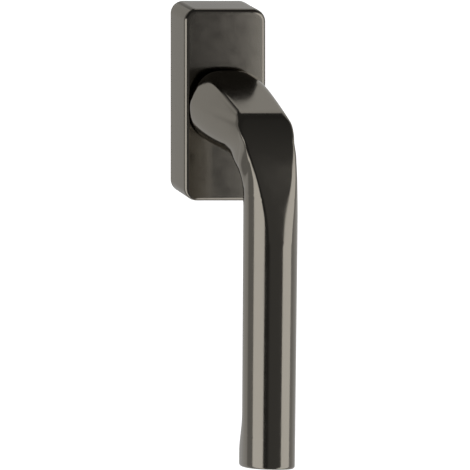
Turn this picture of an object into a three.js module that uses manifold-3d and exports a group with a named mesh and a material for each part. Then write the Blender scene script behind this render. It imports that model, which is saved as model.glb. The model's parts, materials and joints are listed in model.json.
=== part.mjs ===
// Tilt-and-turn window handle: a lever on a rectangular rose with its detent mechanism.
// Millimetres. Origin on the spindle axis in the mounting plane, +Z up, the room on the -Y side.
import * as THREE from 'three';
import { mergeVertices } from 'three/addons/utils/BufferGeometryUtils.js';
import Module from 'manifold-3d';

const wasm = await Module();
wasm.setup();

// ---------------------------------------------------------------- driving dimensions
// "Depth" is always measured from the mounting plane towards the room, so y = -depth.
const ROSE_WIDTH = 28.4;
const ROSE_HEIGHT = 67;
const ROSE_DEPTH = 12;
const ROSE_CORNER = 4.4;
const ROSE_EDGE = 1.5;
const COVER_WALL = 1.3;
const COVER_LIFT = 2;
const COVER_HOLE = 10.6;
const GUIDE_BACK = 9.75;

const SCREW_SPACING = 43;
const SPINDLE_SIDE = 7;
const SPINDLE_REACH = 25;
const SPINDLE_TOP = 23;
const SQUARE_HOLE = SPINDLE_SIDE + 0.15;
const PIN_DEPTH = 12;
const PIN_RADIUS = 1;
const PIN_LENGTH = 18.4;

const HUB_DEPTH = ROSE_DEPTH + COVER_LIFT + 0.2;
const HUB_RADIUS = 13.9;
const NECK_TAPER = 0.0048;
const SHANK_RADIUS = 9.5;
const SHANK_FOOT = 9.9;
const NECK_RADIUS = 6.8;
const NECK_END = 8.25;

const GRIP_RADIUS = 8.5;
const GRIP_DEPTH = 45.75;
const GRIP_END = -114.75;
const GRIP_LEAN = 0.019;
const GRIP_BOW = 0.0028;
const GRIP_TAPER = 0.0025;
const GRIP_FLARE = 4.2;
const END_SLOPE = 0.25;
const HUB_FLANK = 14.7;
const FLANK_SLOPE = 0.179;
const FLANK_DRAFT = 0.38;
const KNEE_WIDTH = 9.7;
const FACET_RADIUS = 63;
// Radii by which the lever's faces melt into each other.
const BLEND_TOP = 1;
const BLEND_LOW = 13.1;
const BLEND_DEPTH = 50.7;
const FLANK_SOFT = 2;
const TOP_SOFT = 1.6;
const FACET_SOFT = 1.3;
const END_SOFT = 1.2;
const FACET_FOOT = -35.3;
const TOP_START = 13;
const TOP_SLOPE = 0.318;

const PLATE_THICK = 2.6;
const HOUSING_TOP = 8.4;
const HOUSING_OUTER = 12.3;
const HOUSING_INNER = 11.5;
const LID_THICK = 1.1;
const LID_SCREW_Z = 14;
const ROTOR_RADIUS = 9.6;
const ROTOR_BASE = 3.4;
const ROTOR_THICK = 4;
const RING_INNER = 9.9;
const BALL_RADIUS = 1.3;
const BALL_DEPTH = ROTOR_BASE + ROTOR_THICK / 2;
const BALL_REST = 8.25;
const SPRING_FOOT = 4.6;

const ROUND = 40;

// ---------------------------------------------------------------- small tools
const finishes = {
  lacquer: [0x3a3732, 0.3, 0.6],
  satin: [0x45413c, 0.45, 0.5],
  zinc: [0x9a9b98, 0.45, 0.9],
  steel: [0xb4b6b8, 0.35, 1],
  spring: [0x8f9296, 0.3, 1],
  nylon: [0x26262a, 0.7, 0],
  acetal: [0xd9d7cf, 0.6, 0],
};

const handle = new THREE.Group();

function add(name, geometry, finish) {
  const [color, roughness, metalness] = finishes[finish];
  const mesh = new THREE.Mesh(geometry, new THREE.MeshStandardMaterial({ color, roughness, metalness }));
  mesh.name = name;
  handle.add(mesh);
}

function solid(geometry) {
  const bare = geometry.index ? geometry.toNonIndexed() : geometry.clone();
  bare.deleteAttribute('normal');
  bare.deleteAttribute('uv');
  const merged = mergeVertices(bare, 1e-4);
  return new wasm.Manifold(new wasm.Mesh({
    numProp: 3,
    vertProperties: new Float32Array(merged.attributes.position.array),
    triVerts: new Uint32Array(merged.index.array),
  }));
}

function shape(body) {
  const mesh = body.getMesh();
  const geometry = new THREE.BufferGeometry();
  geometry.setAttribute('position', new THREE.BufferAttribute(new Float32Array(mesh.vertProperties), 3));
  geometry.setIndex(new THREE.BufferAttribute(new Uint32Array(mesh.triVerts), 1));
  return geometry;
}

const sum = (first, ...rest) => rest.reduce((body, piece) => body.add(piece), first);
const cut = (first, ...rest) => rest.reduce((body, piece) => body.subtract(piece), first);

// A round bar about the spindle axis, or about a parallel one, between two depths.
function disc(radius, from, to, x = 0, z = 0, sides = ROUND) {
  const bar = new THREE.CylinderGeometry(radius, radius, to - from, sides);
  return solid(bar.translate(x, -(from + to) / 2, z));
}

function washer(outer, inner, from, to, x = 0, z = 0, sides = ROUND) {
  return cut(disc(outer, from, to, x, z, sides), disc(inner, from - 1, to + 1, x, z, sides));
}

function block(width, height, from, to, x = 0, z = 0) {
  const box = new THREE.BoxGeometry(width, to - from, height);
  return solid(box.translate(x, -(from + to) / 2, z));
}

// A solid of revolution about an axis parallel to the spindle: [radius, depth] pairs.
function turned(profile, x = 0, z = 0, sides = ROUND) {
  const points = profile.map(([radius, depth]) => new THREE.Vector2(radius, -depth)).reverse();
  return solid(new THREE.LatheGeometry(points, sides).translate(x, 0, z));
}

// Skins a stack of rings with equal point counts and closes both ends about a centre point.
function loft(rings, firstCentre, lastCentre) {
  const sides = rings[0].length;
  const points = [firstCentre, ...rings.flat(), lastCentre];
  const faces = [];
  const at = (ring, side) => 1 + ring * sides + (side % sides);
  for (let side = 0; side < sides; side += 1) {
    faces.push(0, at(0, side + 1), at(0, side));
    faces.push(points.length - 1, at(rings.length - 1, side), at(rings.length - 1, side + 1));
    for (let ring = 0; ring + 1 < rings.length; ring += 1) {
      faces.push(at(ring, side), at(ring, side + 1), at(ring + 1, side));
      faces.push(at(ring, side + 1), at(ring + 1, side + 1), at(ring + 1, side));
    }
  }
  const geometry = new THREE.BufferGeometry();
  geometry.setAttribute('position', new THREE.Float32BufferAttribute(points.flat(), 3));
  geometry.setIndex(faces);
  return geometry;
}

// ---------------------------------------------------------------- lever
// The lever is one cast body. Its surface is where leverField is zero; negative is metal.
const mix = (a, b, t) => a + (b - a) * t;
const clamp01 = (t) => Math.min(1, Math.max(0, t));
const ease = (t) => clamp01(t) ** 2 * (3 - 2 * clamp01(t));

// Rounded joins: softMin fills an inside corner, softMax rounds an outside edge.
function softMin(a, b, radius) {
  const share = Math.max(radius - Math.abs(a - b), 0) / radius;
  return Math.min(a, b) - (share * share * radius) / 4;
}
const softMax = (a, b, radius) => -softMin(-a, -b, radius);

// The grip's axis leans outwards as it rises and bows back towards the rose at the knee.
function gripCentre(z) {
  const above = Math.max(z + 30, 0);
  return GRIP_DEPTH + GRIP_LEAN * (z + 25) - GRIP_BOW * above * above;
}

// A round bar, a little slimmer low down, whose back flares out at the end.
function gripField(x, depth, z) {
  const centre = gripCentre(z);
  const radius = GRIP_RADIUS + GRIP_TAPER * Math.min(Math.max(z + 25, -90), 0);
  const flare = GRIP_FLARE * ease((-97 - z) / 15);
  const back = depth < centre ? radius + flare : radius;
  return (Math.hypot(x / radius, (depth - centre) / back) - 1) * radius;
}

function neckField(x, depth, z) {
  const out = depth - HUB_DEPTH;
  return Math.hypot(x, z) - HUB_RADIUS + NECK_TAPER * out * out;
}

// Flat flanks that narrow towards the knee and towards the top, and let go of the grip.
function flankField(x, depth, z) {
  const width = Math.max(HUB_FLANK - FLANK_SLOPE * (depth - HUB_DEPTH), KNEE_WIDTH);
  const draft = FLANK_DRAFT * z * ease(z / 4);
  return Math.abs(x) - width + draft - 3 * ease((-6 - z) / 20);
}

// The neck's flat top falls away from the hub in a straight line.
function topField(depth, z) {
  const level = TOP_START - TOP_SLOPE * (depth - HUB_DEPTH);
  return (z - level) / Math.hypot(1, TOP_SLOPE);
}

// The facet on the knee is a wide arc that runs out into the front of the grip.
function facetField(depth, z) {
  if (z < FACET_FOOT) return -10;
  const front = gripCentre(FACET_FOOT) + GRIP_RADIUS + 0.15;
  return Math.hypot(depth - front + FACET_RADIUS, z - FACET_FOOT) - FACET_RADIUS;
}

function endField(depth, z) {
  const low = GRIP_END + END_SLOPE * (depth - GRIP_DEPTH);
  return (low - z) / Math.hypot(1, END_SLOPE);
}

// The join of neck and grip is wide in the inner bend and tight on the outside.
function leverField(x, depth, z) {
  const join = mix(BLEND_TOP, BLEND_LOW, ease((-3 - z) / 9) * ease((BLEND_DEPTH - depth) / 8));
  let field = softMin(gripField(x, depth, z), neckField(x, depth, z), join);
  field = softMax(field, flankField(x, depth, z), FLANK_SOFT);
  field = softMax(field, topField(depth, z), TOP_SOFT);
  field = softMax(field, facetField(depth, z), FACET_SOFT);
  return softMax(field, endField(depth, z), END_SOFT);
}

// First crossing of the surface from a point inside the metal along a direction.
function surfacePoint(origin, direction) {
  const at = (t) => origin.map((value, axis) => value + direction[axis] * t);
  let far = 0.5;
  while (leverField(...at(far)) < 0) far += 0.5;
  let near = far - 0.5;
  for (let step = 0; step < 26; step += 1) {
    const middle = (near + far) / 2;
    if (leverField(...at(middle)) < 0) near = middle;
    else far = middle;
  }
  const [x, depth, z] = at(near);
  return [x, -depth, z];
}

// One ring of the skin, in the plane spanned by +X and an outward direction.
function leverRing(centre, outward, sides, lift = 0) {
  const ring = [];
  for (let side = 0; side < sides; side += 1) {
    const angle = (2 * Math.PI * side) / sides;
    const across = Math.cos(angle);
    const along = Math.sin(angle);
    ring.push(surfacePoint(centre, [
      across * Math.cos(lift),
      along * outward[0] * Math.cos(lift),
      along * outward[1] * Math.cos(lift) - Math.sin(lift),
    ]));
  }
  return ring;
}

// The rings run from the hub out along the neck, round the knee and down the grip.
function leverSkin(sides) {
  const pivot = [24, -20];
  const reach = 20.6;
  const capCentre = [0, gripCentre(-104) - 1, -104];
  const rings = [];
  for (let depth = HUB_DEPTH; depth < pivot[0] - 0.5; depth += 2.4) {
    rings.push(leverRing([0, depth, 0.4], [0, 1], sides));
  }
  for (let step = 0; step <= 18; step += 1) {
    const turn = (Math.PI / 2) * (1 - step / 18);
    const outward = [Math.cos(turn), Math.sin(turn)];
    const centre = [0, pivot[0] + reach * outward[0], pivot[1] + reach * outward[1]];
    rings.push(leverRing(centre, outward, sides));
  }
  for (const z of [-26, -33, -45, -60, -75, -88, -95, -100]) {
    rings.push(leverRing([0, gripCentre(z), z], [1, 0], sides));
  }
  for (const lift of [0, 12, 22, 30, 35, 39, 43, 47, 51, 55, 60, 68, 80]) {
    rings.push(leverRing(capCentre, [1, 0], sides, THREE.MathUtils.degToRad(lift)));
  }
  const tip = surfacePoint(capCentre, [0, 0, -1]);
  return loft(rings, [0, -HUB_DEPTH, 0.4], tip);
}

function lever() {
  const body = sum(
    solid(leverSkin(36)),
    disc(SHANK_RADIUS, SHANK_FOOT, HUB_DEPTH + 1),
    disc(NECK_RADIUS, NECK_END, 11),
  );
  const bore = block(SQUARE_HOLE, SQUARE_HOLE, NECK_END - 1, SPINDLE_TOP + 1);
  add('lever', shape(cut(body, bore, pinHole())), 'lacquer');
}

// ---------------------------------------------------------------- spindle and its fasteners
function crossPin(radius, length) {
  const pin = new THREE.CylinderGeometry(radius, radius, length, 24);
  return solid(pin.rotateZ(Math.PI / 2).translate(0, -PIN_DEPTH, 0));
}

const pinHole = () => crossPin(PIN_RADIUS + 0.06, 22);

function spindle() {
  const chamfer = 1.2;
  const half = SPINDLE_SIDE / Math.SQRT2;
  const length = SPINDLE_TOP + SPINDLE_REACH - chamfer;
  const bar = new THREE.CylinderGeometry(half, half, length, 4);
  const tip = new THREE.CylinderGeometry(half, half - chamfer, chamfer, 4);
  bar.rotateY(Math.PI / 4).translate(0, length / 2 - SPINDLE_TOP, 0);
  tip.rotateX(Math.PI).rotateY(Math.PI / 4).translate(0, SPINDLE_REACH - chamfer / 2, 0);
  const groove = washer(9, 4.5, 2.65, 3.35);
  const body = sum(solid(bar), solid(tip));
  add('spindle', shape(cut(body, groove, pinHole())), 'steel');
  add('spindle_cross_pin', shape(crossPin(PIN_RADIUS, PIN_LENGTH)), 'steel');
  const opening = block(3, 8, 2, 4, 0, -5);
  add('retaining_ring', shape(cut(washer(6.2, 4.6, 2.75, 3.25), opening)), 'spring');
}

// ---------------------------------------------------------------- detent mechanism
const upDown = [['upper', 1], ['lower', -1]];

function radialHole(radius, from, to, side) {
  const hole = new THREE.CylinderGeometry(radius, radius, to - from, 24);
  return solid(hole.rotateX(Math.PI / 2).translate(0, -BALL_DEPTH, (side * (from + to)) / 2));
}

function detentRotor() {
  const rotor = disc(ROTOR_RADIUS, ROTOR_BASE, ROTOR_BASE + ROTOR_THICK);
  const square = block(SQUARE_HOLE, SQUARE_HOLE, 2, 9);
  const sockets = upDown.map(([, side]) => (
    radialHole(BALL_RADIUS + 0.12, SPRING_FOOT - 0.1, 12, side)
  ));
  add('detent_rotor', shape(cut(rotor, square, ...sockets)), 'steel');
}

function detentRing() {
  const notches = [0, 1, 2, 3].map((quarter) => {
    const angle = (quarter * Math.PI) / 2;
    const reach = RING_INNER - 0.85;
    return disc(1.6, 2, 9, reach * Math.cos(angle), reach * Math.sin(angle), 24);
  });
  const ring = washer(HOUSING_INNER - 0.12, RING_INNER, ROTOR_BASE, ROTOR_BASE + ROTOR_THICK);
  add('detent_ring', shape(cut(ring, ...notches)), 'steel');
}

class Helix extends THREE.Curve {
  constructor(radius, from, to, turns) {
    super();
    Object.assign(this, { radius, from, to, turns });
  }

  getPoint(t, target = new THREE.Vector3()) {
    const angle = 2 * Math.PI * this.turns * t;
    const height = mix(this.from, this.to, t);
    return target.set(this.radius * Math.cos(angle), this.radius * Math.sin(angle), height);
  }
}

function ballsAndSprings() {
  const wire = 0.2;
  const wireShape = new THREE.Shape().absarc(0, 0, wire, 0, 2 * Math.PI);
  for (const [word, side] of upDown) {
    const ball = new THREE.SphereGeometry(BALL_RADIUS, 20, 12);
    ball.translate(0, -BALL_DEPTH, side * BALL_REST);
    add(`detent_ball_${word}`, shape(solid(ball)), 'steel');
    const foot = side * (SPRING_FOOT + wire + 0.05);
    const head = side * (BALL_REST - BALL_RADIUS - wire - 0.05);
    const path = new Helix(0.95, foot, head, 3.5 * side);
    const along = { steps: 42, extrudePath: path, curveSegments: 3 };
    const coil = new THREE.ExtrudeGeometry(wireShape, along).translate(0, -BALL_DEPTH, 0);
    add(`detent_spring_${word}`, shape(solid(coil)), 'spring');
  }
}

// A thin ring in three waves between the mechanism and the lever's shank.
function waveWasher() {
  const section = [[7.2, -0.15], [9.4, -0.15], [9.4, 0.15], [7.2, 0.15]];
  const depth = 7.8;
  const height = 0.12;
  const sides = 48;
  const points = [];
  const faces = [];
  for (let side = 0; side < sides; side += 1) {
    const angle = (2 * Math.PI * side) / sides;
    const wave = depth + height * Math.cos(3 * angle);
    const next = (side + 1) % sides;
    section.forEach(([radius, level], corner) => {
      points.push(radius * Math.cos(angle), -(wave + level), radius * Math.sin(angle));
      const after = (corner + 1) % 4;
      const [a, b] = [side * 4 + corner, side * 4 + after];
      const [c, d] = [next * 4 + corner, next * 4 + after];
      faces.push(a, c, b, b, c, d);
    });
  }
  const geometry = new THREE.BufferGeometry();
  geometry.setAttribute('position', new THREE.Float32BufferAttribute(points, 3));
  geometry.setIndex(faces);
  add('wave_washer', geometry, 'spring');
}

function thrustWasher() {
  add('thrust_washer', shape(washer(10.6, 6.6, PLATE_THICK + 0.1, ROTOR_BASE - 0.1)), 'acetal');
}

// ---------------------------------------------------------------- base plate, lid and bushes
function roundedPlate(width, height, corner, from, to) {
  const outline = roundedOutline(width, height, corner, 5);
  const ring = (depth) => outline.map(([x, z]) => [x, -depth, z]);
  return solid(loft([ring(from), ring(to)], [0, -from, 0], [0, -to, 0]));
}

// Points of a rounded rectangle, each corner a quarter circle of the given steps.
function roundedOutline(width, height, corner, steps) {
  const points = [];
  const turns = [[1, 1], [-1, 1], [-1, -1], [1, -1]];
  turns.forEach(([right, up], quarter) => {
    const x = right * (width / 2 - corner);
    const z = up * (height / 2 - corner);
    for (let step = 0; step <= steps; step += 1) {
      const angle = (Math.PI / 2) * (quarter + step / steps);
      points.push([x + corner * Math.cos(angle), z + corner * Math.sin(angle)]);
    }
  });
  return points;
}

const PAD_TOP = 4.7;
const LUG_LENGTH = 3;

function basePlate() {
  const inside = 2 * COVER_WALL + 0.6;
  const plate = roundedPlate(ROSE_WIDTH - inside, ROSE_HEIGHT - inside, 3.4, 0, PLATE_THICK);
  const boss = washer(HOUSING_OUTER, HOUSING_INNER, 1, HOUSING_TOP, 0, 0, 56);
  const pieces = [boss];
  const holes = [disc(6.5, -1, PLATE_THICK + 1)];
  for (const [, side] of upDown) {
    const screwZ = (side * SCREW_SPACING) / 2;
    pieces.push(disc(5.8, 1, PAD_TOP, 0, screwZ), disc(5, -LUG_LENGTH, 1, 0, screwZ));
    holes.push(disc(2.8, -LUG_LENGTH - 1, PAD_TOP + 1, 0, screwZ, 24));
    holes.push(turned([[0, 1.9], [2.5, 1.9], [5.3, 4.7], [5.3, 6], [0, 6]], 0, screwZ));
    const post = disc(2.3, 1, HOUSING_TOP, 0, side * LID_SCREW_Z, 24);
    const room = disc(HOUSING_OUTER - 0.4, 1, HOUSING_TOP + 1);
    pieces.push(cut(post, room));
    holes.push(disc(0.85, 4, HOUSING_TOP + 1, 0, side * LID_SCREW_Z, 16));
    holes.push(block(8.6, 1.6, -1, PLATE_THICK + 1, 0, side * 29.2));
  }
  add('base_plate', shape(cut(sum(plate, ...pieces), ...holes)), 'zinc');
}

function mechanismLid() {
  const from = HOUSING_TOP + 0.1;
  const to = from + LID_THICK;
  const parts = upDown.map(([, side]) => disc(2.3, from, to, 0, side * LID_SCREW_Z, 24));
  const holes = upDown.map(([, side]) => disc(1.15, 0, 12, 0, side * LID_SCREW_Z, 16));
  const lid = sum(disc(HOUSING_OUTER, from, to, 0, 0, 56), ...parts);
  add('mechanism_lid', shape(cut(lid, disc(7.65, 0, 12), ...holes)), 'steel');
  add('neck_bush', shape(washer(7.5, NECK_RADIUS + 0.1, from, to + 0.1)), 'acetal');
  for (const [word, side] of upDown) {
    const top = to + 0.02;
    const profile = [[0, 4.4], [0.75, 4.4], [0.75, 8.4], [0.95, 8.5], [0.95, top], [1.9, top]];
    const head = [[1.9, top + 0.35], [1.5, top + 0.55], [0, top + 0.55]];
    const screw = turned([...profile, ...head], 0, side * LID_SCREW_Z, 20);
    add(`lid_screw_${word}`, shape(screw), 'steel');
  }
}

function fixingScrews() {
  for (const [word, side] of upDown) {
    const z = (side * SCREW_SPACING) / 2;
    const shank = [[0, -22], [1.7, -22], [2.4, -20.6], [2.4, 2.1]];
    const body = turned([...shank, [4.5, 4.2], [4.5, 4.55], [0, 4.55]], 0, z, 28);
    const slots = [block(5.4, 1, 3, 6, 0, z), block(1, 5.4, 3, 6, 0, z)];
    add(`fixing_screw_${word}`, shape(cut(body, ...slots)), 'steel');
  }
}

// Bent leaf that stands in a slot of the base plate and grips the cover's end wall.
function coverClips() {
  const leg = [[28.9, 0.4], [29.4, 0.4], [29.4, 5.6]];
  const hook = [[30.5, 7.2], [31.4, 6], [31.75, 6.3], [30.6, 8], [30.2, 8], [28.9, 5.9]];
  const outline = new THREE.Shape([...leg, ...hook].map(([z, depth]) => new THREE.Vector2(z, depth)));
  const upright = new THREE.Matrix4().set(0, 0, 1, 0, 0, -1, 0, 0, 1, 0, 0, 0, 0, 0, 0, 1);
  for (const [word, side] of upDown) {
    const leaf = new THREE.ExtrudeGeometry(outline, { depth: 8, bevelEnabled: false });
    leaf.translate(0, 0, -4).applyMatrix4(upright);
    if (side < 0) leaf.rotateY(Math.PI);
    add(`cover_clip_${word}`, shape(solid(leaf)), 'spring');
  }
}

// ---------------------------------------------------------------- rose cover
function coverSkin(width, height, corner, edge, from, to) {
  const rings = [];
  const ring = (inset, depth) => (
    roundedOutline(width - 2 * inset, height - 2 * inset, corner - inset, 5)
      .map(([x, z]) => [x, -depth, z])
  );
  rings.push(ring(0, from));
  for (let step = 0; step <= 4; step += 1) {
    const angle = (Math.PI / 2) * (step / 4);
    rings.push(ring(edge * (1 - Math.cos(angle)), to - edge + edge * Math.sin(angle)));
  }
  return solid(loft(rings, [0, -from, 0], [0, -to, 0]));
}

function roseCover() {
  const outer = coverSkin(ROSE_WIDTH, ROSE_HEIGHT, ROSE_CORNER, ROSE_EDGE, 0.1, ROSE_DEPTH);
  const inner = coverSkin(
    ROSE_WIDTH - 2 * COVER_WALL,
    ROSE_HEIGHT - 2 * COVER_WALL,
    ROSE_CORNER - COVER_WALL,
    ROSE_EDGE - COVER_WALL,
    -1,
    ROSE_DEPTH - COVER_WALL,
  );
  add('rose_cover', shape(cut(outer, inner, disc(COVER_HOLE, 5, 15))), 'satin');
  const bore = SHANK_RADIUS + 0.25;
  const flange = washer(12, bore, GUIDE_BACK, ROSE_DEPTH - COVER_WALL - 0.05);
  const collar = washer(COVER_HOLE - 0.15, bore, GUIDE_BACK, ROSE_DEPTH - 0.1);
  add('cover_guide_ring', shape(sum(flange, collar)), 'nylon');
}

lever();
spindle();
detentRotor();
detentRing();
ballsAndSprings();
waveWasher();
thrustWasher();
basePlate();
mechanismLid();
fixingScrews();
coverClips();
roseCover();

export default handle;
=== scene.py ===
"""Window handle: fine meshes, materials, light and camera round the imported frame."""
import json
import math

import bmesh
import bpy
import numpy as np
from mathutils import Matrix, Vector


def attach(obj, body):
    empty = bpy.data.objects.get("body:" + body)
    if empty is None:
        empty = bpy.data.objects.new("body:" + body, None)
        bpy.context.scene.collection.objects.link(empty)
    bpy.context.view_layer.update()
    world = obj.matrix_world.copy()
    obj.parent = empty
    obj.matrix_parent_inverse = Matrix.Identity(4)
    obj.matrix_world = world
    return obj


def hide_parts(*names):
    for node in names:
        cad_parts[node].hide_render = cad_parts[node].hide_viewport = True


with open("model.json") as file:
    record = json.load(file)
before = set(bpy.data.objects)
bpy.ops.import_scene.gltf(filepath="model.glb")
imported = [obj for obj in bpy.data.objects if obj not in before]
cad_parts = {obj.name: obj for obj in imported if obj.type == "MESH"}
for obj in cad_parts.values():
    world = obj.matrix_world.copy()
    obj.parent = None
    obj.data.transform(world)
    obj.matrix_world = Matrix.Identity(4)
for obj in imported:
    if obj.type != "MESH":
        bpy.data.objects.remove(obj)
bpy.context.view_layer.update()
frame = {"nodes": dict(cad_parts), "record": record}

MM = 0.001

# ---------------------------------------------------------------- sizes, in millimetres
# Depth is measured from the mounting plane towards the room: y = -depth. Slopes, leans, drafts,
# tapers and bows are ratios and curvatures of the lever's formula.
ROSE_WIDTH, ROSE_HEIGHT, ROSE_DEPTH = 28.4, 67.0, 12.0
ROSE_CORNER, ROSE_EDGE = 4.4, 1.5
COVER_WALL, COVER_HOLE, COVER_BACK = 1.3, 10.6, 0.1
COVER_INNER_EDGE, HOLE_CHAMFER = 0.7, 0.3

HUB_DEPTH, HUB_RADIUS, HUB_EDGE, NECK_TAPER = 14.2, 13.9, 0.5, 0.0048
SHANK_RADIUS, SHANK_FOOT, SHANK_CHAMFER = 9.5, 9.9, 0.2
NECK_RADIUS, NECK_END = 6.8, 8.25
GRIP_RADIUS, GRIP_DEPTH, GRIP_END, GRIP_LEAN = 8.5, 45.75, -114.75, 0.019
GRIP_TAPER, GRIP_BOW, GRIP_FLARE = 0.0025, 0.0028, 4.2
BOW_FOOT, FLARE_TOP, FLARE_LENGTH = -30, -97, 15
END_SLOPE = 0.25
HUB_FLANK, FLANK_SLOPE, KNEE_WIDTH, FLANK_DRAFT = 14.7, 0.179, 9.7, 0.38
FACET_RADIUS, FACET_FOOT, FACET_LIFT = 63.0, -35.3, 0.15
TOP_START, TOP_SLOPE = 13.0, 0.318
BLEND_TOP, BLEND_LOW, BLEND_DEPTH = 1.0, 13.1, 50.7
FLANK_SOFT, TOP_SOFT, FACET_SOFT, END_SOFT = 2.0, 1.6, 1.3, 1.2

# Centres of the rings that skin the lever.
HUB_CENTRE = 0.4
KNEE_PIVOT, KNEE_REACH = (24.0, -20.0), 20.6
CAP_START = -104
FINE_SIDES = 192


# ---------------------------------------------------------------- the lever's surface
def ease(t):
    t = np.clip(t, 0.0, 1.0)
    return t * t * (3 - 2 * t)


def soft_min(a, b, radius):
    share = np.maximum(radius - np.abs(a - b), 0) / radius
    return np.minimum(a, b) - share * share * radius / 4


def soft_max(a, b, radius):
    return -soft_min(-a, -b, radius)


def grip_centre(z):
    above = np.maximum(z - BOW_FOOT, 0)
    return GRIP_DEPTH + GRIP_LEAN * (z + 25) - GRIP_BOW * above * above


def grip_field(x, depth, z):
    """A round bar that leans a little and flares at the back of its end."""
    flare = ease((FLARE_TOP - z) / FLARE_LENGTH)
    centre = grip_centre(z)
    radius = GRIP_RADIUS + GRIP_TAPER * np.clip(z + 25, -90, 0)
    back = np.where(depth < centre, radius + GRIP_FLARE * flare, radius)
    return (np.hypot(x / radius, (depth - centre) / back) - 1) * radius


def neck_field(x, depth, z):
    """A round hub that tapers outwards a little."""
    out = depth - HUB_DEPTH
    return np.hypot(x, z) - HUB_RADIUS + NECK_TAPER * out * out


def flank_field(x, depth, z):
    """Flat flanks that narrow towards the knee and towards the top, and let go of the grip."""
    width = np.maximum(HUB_FLANK - FLANK_SLOPE * (depth - HUB_DEPTH), KNEE_WIDTH)
    draft = FLANK_DRAFT * z * ease(z / 4)
    return np.abs(x) - width + draft - 3 * ease((-6 - z) / 20)


def facet_field(depth, z):
    """The hollow facet that runs out on the grip's front."""
    front = grip_centre(FACET_FOOT) + GRIP_RADIUS + FACET_LIFT
    cut = np.hypot(depth - front + FACET_RADIUS, z - FACET_FOOT) - FACET_RADIUS
    return np.where(z > FACET_FOOT, cut, -10)


def top_field(depth, z):
    """The neck's flat top, which falls away from the hub."""
    level = TOP_START - TOP_SLOPE * (depth - HUB_DEPTH)
    return (z - level) / math.hypot(1, TOP_SLOPE)


def end_field(depth, z):
    """The grip's slanted end."""
    low = GRIP_END + END_SLOPE * (depth - GRIP_DEPTH)
    return (low - z) / math.hypot(1, END_SLOPE)


def lever_field(points):
    x, depth, z = points[..., 0], points[..., 1], points[..., 2]
    below = ease((-3 - z) / 9) * ease((BLEND_DEPTH - depth) / 8)
    bend = BLEND_TOP + (BLEND_LOW - BLEND_TOP) * below
    field = soft_min(grip_field(x, depth, z), neck_field(x, depth, z), bend)
    field = soft_max(field, flank_field(x, depth, z), FLANK_SOFT)
    field = soft_max(field, top_field(depth, z), TOP_SOFT)
    field = soft_max(field, facet_field(depth, z), FACET_SOFT)
    return soft_max(field, end_field(depth, z), END_SOFT)


def surface(origin, direction):
    """First crossing of the lever's surface from a point inside it, along unit directions."""
    near = np.zeros(direction.shape[:-1])
    inside = np.ones_like(near, dtype=bool)
    step = 0.5
    for _ in range(80):
        ahead = lever_field(origin + direction * (near + step)[..., None]) < 0
        inside &= ahead
        near = np.where(inside, near + step, near)
        if not inside.any():
            break
    far = near + step
    for _ in range(24):
        middle = (near + far) / 2
        within = lever_field(origin + direction * middle[..., None]) < 0
        near = np.where(within, middle, near)
        far = np.where(within, far, middle)
    return origin + direction * near[..., None]


def lever_ring(centre, outward, sides, lift=0.0):
    """The surface round one centre, in the plane of x and outward, or lifted down to a cone."""
    angle = np.linspace(0, 2 * math.pi, sides, endpoint=False)
    flat = math.cos(lift)
    direction = np.stack([
        np.cos(angle) * flat,
        np.sin(angle) * outward[0] * flat,
        np.sin(angle) * outward[1] * flat - math.sin(lift),
    ], axis=-1)
    return surface(np.array(centre, dtype=float), direction)


def lever_rings(sides):
    """Rings from the hub out along the neck, round the knee, down the grip and over its end."""
    rings = []
    for depth in np.arange(HUB_DEPTH + 0.01, KNEE_PIVOT[0], 0.5):
        rings.append(lever_ring((0, depth, HUB_CENTRE), (0, 1), sides))
    for turn in np.linspace(math.pi / 2, 0, 150):
        outward = (math.cos(turn), math.sin(turn))
        depth = KNEE_PIVOT[0] + KNEE_REACH * outward[0]
        z = KNEE_PIVOT[1] + KNEE_REACH * outward[1]
        rings.append(lever_ring((0, depth, z), outward, sides))
    for z in np.linspace(-KNEE_REACH, CAP_START, 150)[1:-1]:
        rings.append(lever_ring((0, grip_centre(z), z), (1, 0), sides))
    cap = (0, grip_centre(CAP_START) - 1, CAP_START)
    for lift in np.radians(np.linspace(0, 86, 110)):
        rings.append(lever_ring(cap, (1, 0), sides, lift))
    return rings


# ---------------------------------------------------------------- mesh tools
def to_metres(points):
    points = np.asarray(points, dtype=float)
    return np.stack([points[:, 0], -points[:, 1], points[:, 2]], axis=-1) * MM


def skin(name, rings, close_start=True, close_end=True):
    """Skins rings of (x, depth, z) points into one smooth mesh object."""
    sides = len(rings[0])
    points = to_metres(np.concatenate(rings))
    faces = []
    for ring in range(len(rings) - 1):
        here, there = ring * sides, (ring + 1) * sides
        for side in range(sides):
            after = (side + 1) % sides
            faces.append((here + side, there + side, there + after, here + after))
    if close_start:
        faces.append(tuple(range(sides)))
    if close_end:
        last = (len(rings) - 1) * sides
        faces.append(tuple(last + side for side in reversed(range(sides))))
    mesh = bpy.data.meshes.new(name)
    mesh.from_pydata(points.tolist(), [], faces)
    finish_mesh(mesh)
    piece = bpy.data.objects.new(name, mesh)
    bpy.context.scene.collection.objects.link(piece)
    return piece


def finish_mesh(mesh):
    """Faces outwards, smooth except over edges sharper than 40 degrees."""
    form = bmesh.new()
    form.from_mesh(mesh)
    bmesh.ops.recalc_face_normals(form, faces=form.faces)
    for edge in form.edges:
        if len(edge.link_faces) == 2 and edge.calc_face_angle() > math.radians(40):
            edge.smooth = False
    form.to_mesh(mesh)
    form.free()
    mesh.polygons.foreach_set("use_smooth", [True] * len(mesh.polygons))
    mesh.update()


def circle(radius, depth, sides):
    angle = np.linspace(0, 2 * math.pi, sides, endpoint=False)
    return np.stack([radius * np.cos(angle), np.full(sides, depth), radius * np.sin(angle)], -1)


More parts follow.
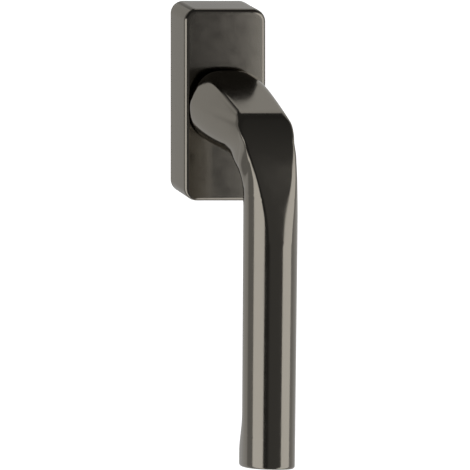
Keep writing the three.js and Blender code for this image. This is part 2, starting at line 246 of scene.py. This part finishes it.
# ---------------------------------------------------------------- lever
def hub_edge(root):
    """Rings over the hub's rounded rear edge, from its first ring."""
    length = np.hypot(root[:, 0], root[:, 2])
    rings = []
    for turn in np.linspace(math.pi / 2, 0, 7)[:-1]:
        scale = (length - HUB_EDGE * (1 - math.cos(turn))) / length
        depth = np.full(len(root), HUB_DEPTH + HUB_EDGE * (1 - math.sin(turn)))
        rings.append(np.stack([root[:, 0] * scale, depth, root[:, 2] * scale], axis=-1))
    return rings


def make_lever(material):
    rings = lever_rings(FINE_SIDES)
    shank = [
        circle(NECK_RADIUS, NECK_END, FINE_SIDES),
        circle(NECK_RADIUS, SHANK_FOOT, FINE_SIDES),
        circle(SHANK_RADIUS - SHANK_CHAMFER, SHANK_FOOT, FINE_SIDES),
        circle(SHANK_RADIUS, SHANK_FOOT + SHANK_CHAMFER, FINE_SIDES),
        circle(SHANK_RADIUS, HUB_DEPTH, FINE_SIDES),
    ]
    piece = skin("lever_fine", shank + hub_edge(rings[0]) + rings[2:])
    piece.data.materials.append(material)
    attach(piece, "handle")
    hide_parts("lever")


# ---------------------------------------------------------------- rose cover
def outline(inset, depth, steps=24):
    """A rounded rectangle at one depth, inset from the rose's outline."""
    width = ROSE_WIDTH / 2 - inset
    height = ROSE_HEIGHT / 2 - inset
    corner = max(ROSE_CORNER - inset, 0.3)
    points = []
    for quarter, (right, up) in enumerate([(1, 1), (-1, 1), (-1, -1), (1, -1)]):
        x, z = right * (width - corner), up * (height - corner)
        for step in range(steps + 1):
            angle = (quarter + step / steps) * math.pi / 2
            points.append((x + corner * math.cos(angle), depth, z + corner * math.sin(angle)))
    return np.array(points)


def hole_ring(radius, depth, like):
    """A circle with one point on the bearing of each point of another ring."""
    angle = np.arctan2(like[:, 2], like[:, 0])
    return np.stack([radius * np.cos(angle), np.full(len(like), depth), radius * np.sin(angle)], -1)


def rounded_edge(inset, edge, front, steps=12):
    """Rings over a convex edge from the side wall to the front face."""
    rings = []
    for turn in np.linspace(0, math.pi / 2, steps + 1):
        rings.append(outline(inset + edge * (1 - math.cos(turn)), front - edge * (1 - math.sin(turn))))
    return rings


def make_cover(material):
    """An open box: round its outer wall, into the hole, and back along the inner wall."""
    wall = [
        outline(0.15, COVER_BACK),
        outline(0.0, COVER_BACK + 0.15),
        outline(0.0, COVER_BACK + 0.4),
    ]
    outer = wall + rounded_edge(0.0, ROSE_EDGE, ROSE_DEPTH)
    like = outer[-1]
    inner_front = ROSE_DEPTH - COVER_WALL
    face = [
        outline(ROSE_EDGE + 0.1, ROSE_DEPTH),
        hole_ring(COVER_HOLE + HOLE_CHAMFER, ROSE_DEPTH, like),
        hole_ring(COVER_HOLE, ROSE_DEPTH - HOLE_CHAMFER, like),
        hole_ring(COVER_HOLE, inner_front, like),
    ]
    lining = rounded_edge(COVER_WALL, COVER_INNER_EDGE, inner_front, 6)[::-1]
    rings = outer + face + lining + [outline(COVER_WALL, COVER_BACK), wall[0]]
    piece = skin("rose_cover_fine", rings, False, False)
    weld(piece)
    piece.data.materials.append(material)
    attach(piece, "cover")
    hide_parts("rose_cover")


def weld(piece):
    """Joins the last ring to the first, which lies in the same place."""
    form = bmesh.new()
    form.from_mesh(piece.data)
    bmesh.ops.remove_doubles(form, verts=form.verts, dist=1e-7)
    bmesh.ops.recalc_face_normals(form, faces=form.faces)
    form.to_mesh(piece.data)
    form.free()


# ---------------------------------------------------------------- materials
BUMP_DEPTH = 0.1 * MM


def new_material(name, color, metallic, roughness):
    """A material with one Principled shader, and that shader."""
    material = bpy.data.materials.new(name)
    material.use_nodes = True
    nodes = material.node_tree.nodes
    shader = nodes["Principled BSDF"]
    shader.inputs["Base Color"].default_value = (*color, 1)
    shader.inputs["Metallic"].default_value = metallic
    shader.inputs["Roughness"].default_value = roughness
    return material, material.node_tree, shader


def add_noise(tree, scale, detail=2.0):
    place = tree.nodes.new("ShaderNodeTexCoord")
    noise = tree.nodes.new("ShaderNodeTexNoise")
    noise.inputs["Scale"].default_value = scale
    noise.inputs["Detail"].default_value = detail
    tree.links.new(place.outputs["Object"], noise.inputs["Vector"])
    return noise.outputs["Fac"]


def spread(tree, factor, low, high):
    """Stretches a noise's middle values to run from low to high."""
    ramp = tree.nodes.new("ShaderNodeMapRange")
    ramp.inputs["From Min"].default_value = 0.3
    ramp.inputs["From Max"].default_value = 0.7
    ramp.inputs["To Min"].default_value = low
    ramp.inputs["To Max"].default_value = high
    tree.links.new(factor, ramp.inputs["Value"])
    return ramp.outputs["Result"]


def add_bump(tree, shader, factor, strength):
    bump = tree.nodes.new("ShaderNodeBump")
    bump.inputs["Strength"].default_value = strength
    bump.inputs["Distance"].default_value = BUMP_DEPTH
    tree.links.new(factor, bump.inputs["Height"])
    tree.links.new(bump.outputs["Normal"], shader.inputs["Normal"])


def gloss_lacquer():
    material, tree, shader = new_material("gloss_lacquer", (0.27, 0.25, 0.215), 1.0, 0.13)
    rough = spread(tree, add_noise(tree, 240, 3), 0.11, 0.16)
    tree.links.new(rough, shader.inputs["Roughness"])
    add_bump(tree, shader, add_noise(tree, 900, 2), 0.02)
    return material


def satin_lacquer():
    material, tree, shader = new_material("satin_lacquer", (0.25, 0.232, 0.2), 1.0, 0.15)
    rough = spread(tree, add_noise(tree, 300, 3), 0.13, 0.17)
    tree.links.new(rough, shader.inputs["Roughness"])
    add_bump(tree, shader, add_noise(tree, 2600, 2), 0.03)
    return material


def plain_metal(name, color, roughness, grain):
    material, tree, shader = new_material(name, color, 1.0, roughness)
    rough = spread(tree, add_noise(tree, grain, 4), roughness * 0.8, roughness * 1.25)
    tree.links.new(rough, shader.inputs["Roughness"])
    add_bump(tree, shader, add_noise(tree, grain * 3, 3), 0.15)
    return material


def plain_plastic(name, color, roughness):
    material, tree, shader = new_material(name, color, 0.0, roughness)
    add_bump(tree, shader, add_noise(tree, 1500, 3), 0.1)
    rough = spread(tree, add_noise(tree, 500, 2), roughness * 0.9, roughness * 1.1)
    tree.links.new(rough, shader.inputs["Roughness"])
    return material


def dress_frame(materials):
    """Gives every CAD node the material of its slot."""
    slots = {row["node"]: row["material_slot"] for row in frame["record"]["subparts"]}
    for node, piece in frame["nodes"].items():
        piece.data.materials.clear()
        piece.data.materials.append(materials[slots[node]])


# ---------------------------------------------------------------- studio
# Levels are strengths of a background whose own grey is 0.8.
WHITE_BACKDROP = 1.25
DARK_LEVEL = 0.055
# A row is a panel: its two bearings and the softness of those edges in degrees, the same for its
# lower and upper height, and its level.
PANELS = (
    ((-98, -48.6, 1.5), (-90, 5, 4), 1.6),
    ((-26, 60, 6), (-90, 40, 26), 0.085),
    ((73, 97, 3), (-90, 28, 8), 0.45),
    ((97, 120, 4), (-90, 50, 12), 0.6),
    ((120, 158, 6), (-90, 72, 8), 0.75),
    ((158, 181, 3), (-90, 30, 10), 0.6),
    ((-181, -131, 5), (-90, 56, 10), 0.68),
    ((-131, -98, 6), (-90, 50, 10), 0.33),
)
SOFTBOX_GLOW, FLOOR_GLOW = 1.32, 1.0
STAGE_FLOOR = -0.6


def band(tree, value, low, high, soft):
    """1 between two limits of a value, fading to 0 over a soft width at each."""
    masks = []
    for start, end in ((low - soft, low + soft), (high + soft, high - soft)):
        ramp = tree.nodes.new("ShaderNodeMapRange")
        ramp.interpolation_type = "SMOOTHSTEP"
        ramp.inputs["From Min"].default_value = start
        ramp.inputs["From Max"].default_value = end
        tree.links.new(value, ramp.inputs["Value"])
        masks.append(ramp.outputs["Result"])
    return math_node(tree, "MULTIPLY", *masks)


def math_node(tree, operation, first, second=None):
    node = tree.nodes.new("ShaderNodeMath")
    node.operation = operation
    for socket, value in zip(node.inputs, (first, second)):
        if value is None:
            continue
        if isinstance(value, (int, float)):
            socket.default_value = value
        else:
            tree.links.new(value, socket)
    return node.outputs["Value"]


def add_bearings(tree):
    """Bearing and height in degrees; bearing 0 is in front of the rose, 90 on its right."""
    place = tree.nodes.new("ShaderNodeTexCoord")
    parts = tree.nodes.new("ShaderNodeSeparateXYZ")
    tree.links.new(place.outputs["Generated"], parts.inputs["Vector"])
    x, y, z = parts.outputs
    across = math_node(tree, "ARCTAN2", x, math_node(tree, "MULTIPLY", y, -1.0))
    up = math_node(tree, "ARCSINE", z)
    return [math_node(tree, "MULTIPLY", angle, 180 / math.pi) for angle in (across, up)]


def add_panels(tree):
    """Brightness of the studio: each panel's level within its own bearings and heights."""
    across, up = add_bearings(tree)
    total = DARK_LEVEL
    for bearings, heights, level in PANELS:
        mask = math_node(tree, "MULTIPLY", band(tree, across, *bearings), band(tree, up, *heights))
        total = math_node(tree, "ADD", math_node(tree, "MULTIPLY", mask, level), total)
    return total


def make_world():
    """White to the camera; reflections see a studio of pale panels and dark gaps."""
    world = bpy.data.worlds.new("studio")
    bpy.context.scene.world = world
    world.use_nodes = True
    tree = world.node_tree
    tree.nodes.clear()
    path = tree.nodes.new("ShaderNodeLightPath")
    level = tree.nodes.new("ShaderNodeMix")
    level.data_type = "FLOAT"
    tree.links.new(path.outputs["Is Camera Ray"], level.inputs["Factor"])
    tree.links.new(add_panels(tree), level.inputs["A"])
    level.inputs["B"].default_value = WHITE_BACKDROP
    glow = tree.nodes.new("ShaderNodeBackground")
    tree.links.new(level.outputs["Result"], glow.inputs["Strength"])
    out = tree.nodes.new("ShaderNodeOutputWorld")
    tree.links.new(glow.outputs["Background"], out.inputs["Surface"])


def glowing_sheet(name, corners, finish, glow):
    """A flat stage piece with four corners, in metres, that glows white."""
    material, tree, shader = finish
    shader.inputs["Emission Color"].default_value = (1, 1, 1, 1)
    shader.inputs["Emission Strength"].default_value = glow
    mesh = bpy.data.meshes.new(name)
    mesh.from_pydata(corners, [], [(0, 1, 2, 3)])
    mesh.materials.append(material)
    sheet = bpy.data.objects.new(name, mesh)
    bpy.context.scene.collection.objects.link(sheet)
    return sheet


def make_softbox():
    """A tall glowing panel close by on the right; only reflections and light see it."""
    near, far = (0.1228, -0.2512), (0.26, -0.115)
    top = 0.105
    corners = [(*near, STAGE_FLOOR), (*far, STAGE_FLOOR), (*far, top), (*near, top)]
    finish = new_material("softbox_glow", (0, 0, 0), 0.0, 1.0)
    panel = glowing_sheet("softbox", corners, finish, SOFTBOX_GLOW)
    panel.visible_camera = False
    panel.visible_shadow = False


def make_floor():
    """A plain white floor well below the handle; only the camera sees it."""
    size = 6.0
    corners = [(x * size, y * size, STAGE_FLOOR) for x, y in ((-1, -1), (1, -1), (1, 1), (-1, 1))]
    finish = new_material("floor_white", (0.95, 0.95, 0.95), 0.0, 0.8)
    floor = glowing_sheet("floor", corners, finish, FLOOR_GLOW)
    floor.visible_glossy = False
    floor.visible_diffuse = False
    floor.visible_shadow = False


# ---------------------------------------------------------------- camera
def make_camera():
    """A view camera whose film stays parallel to the rose while it looks from the upper left.

    The back tilt is a sheared parent, so the rose's face keeps its true proportions.
    """
    side, rise = 0.4516, 0.302
    distance = 1.8
    sensor = 36
    frame_width = 164.91 * MM
    target = Vector((8.51 * MM, 0, -48.74 * MM))
    slant = Vector((-side, -1, rise))
    data = bpy.data.cameras.new("camera")
    camera = bpy.data.objects.new("camera", data)
    bpy.context.scene.collection.objects.link(camera)
    holder = bpy.data.objects.new("camera_holder", None)
    bpy.context.scene.collection.objects.link(holder)
    camera.parent = holder
    back = slant.normalized()
    place = target + slant * distance
    camera.matrix_parent_inverse = Matrix((
        (1, 0, back.x, place.x),
        (0, 0, back.y, place.y),
        (0, 1, back.z, place.z),
        (0, 0, 0, 1),
    ))
    data.sensor_width = sensor
    data.lens = sensor * distance * slant.length / frame_width
    data.clip_start, data.clip_end = 0.05, 50
    bpy.context.scene.camera = camera
    return camera


def main():
    bpy.context.scene.view_settings.view_transform = "Standard"
    materials = {
        "gloss_lacquer": gloss_lacquer(),
        "satin_lacquer": satin_lacquer(),
        "zinc_casting": plain_metal("zinc_casting", (0.42, 0.42, 0.41), 0.5, 700),
        "plated_steel": plain_metal("plated_steel", (0.58, 0.58, 0.57), 0.3, 500),
        "spring_steel": plain_metal("spring_steel", (0.34, 0.34, 0.35), 0.3, 500),
        "black_nylon": plain_plastic("black_nylon", (0.03, 0.03, 0.033), 0.55),
        "white_acetal": plain_plastic("white_acetal", (0.75, 0.74, 0.7), 0.5),
    }
    dress_frame(materials)
    make_lever(materials["gloss_lacquer"])
    make_cover(materials["satin_lacquer"])
    make_world()
    make_floor()
    make_softbox()
    make_camera()


main()
